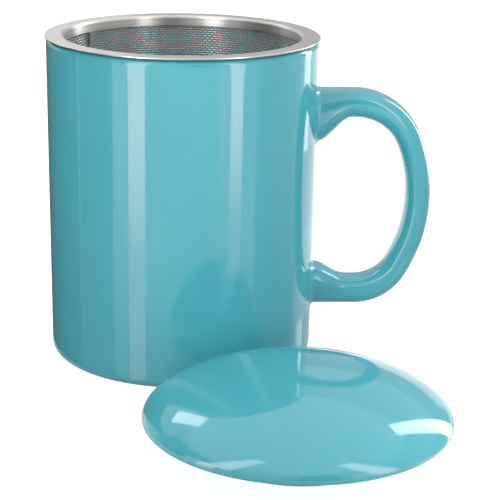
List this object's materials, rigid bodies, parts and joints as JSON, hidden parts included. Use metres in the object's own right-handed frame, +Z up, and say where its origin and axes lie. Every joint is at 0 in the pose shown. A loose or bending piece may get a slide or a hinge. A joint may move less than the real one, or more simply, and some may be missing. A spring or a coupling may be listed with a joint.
{
  "type": "lidded tea mug with infuser",
  "caption": "Glazed stoneware tea mug with an oval loop handle, a hanging wire-cloth infuser basket with a flat steel flange, and a loose domed lid lying beside it.",
  "frame": {"origin": "centre of the mug's round foot, on the surface that it stands on", "axes": "+Z up along the mug's axis; +X from the axis through the middle of the handle; the lid lies on the same surface on the -Y side, towards +X"},
  "size_m": [0.123, 0.1678, 0.1025],
  "materials": {
    "turquoise_glaze": "gloss glaze on stoneware",
    "stamped_stainless": "satin flange and polished collar",
    "stainless_wire_cloth": "drawn wire, plain weave"
  },
  "bodies": {
    "mug": {"mug_body": "turquoise_glaze", "mug_handle": "turquoise_glaze"},
    "infuser": {"infuser_rim": "stamped_stainless", "infuser_side_uprights": "stainless_wire_cloth", "infuser_side_hoops": "stainless_wire_cloth", "infuser_side_seam": "stainless_wire_cloth", "infuser_base_band": "stamped_stainless", "infuser_floor_wires_x": "stainless_wire_cloth", "infuser_floor_wires_y": "stainless_wire_cloth"},
    "lid": {"lid": "turquoise_glaze"}
  },
  "joints": [
    {"name": "infuser_lift", "type": "slide", "parent": "mug", "child": "infuser", "axis": [0, 0, 1], "range_m": [0, 0.12]},
    {"name": "lid_lift", "type": "slide", "parent": "mug", "child": "lid", "axis": [0, 0, 1], "range_m": [0, 0.15]}
  ]
}
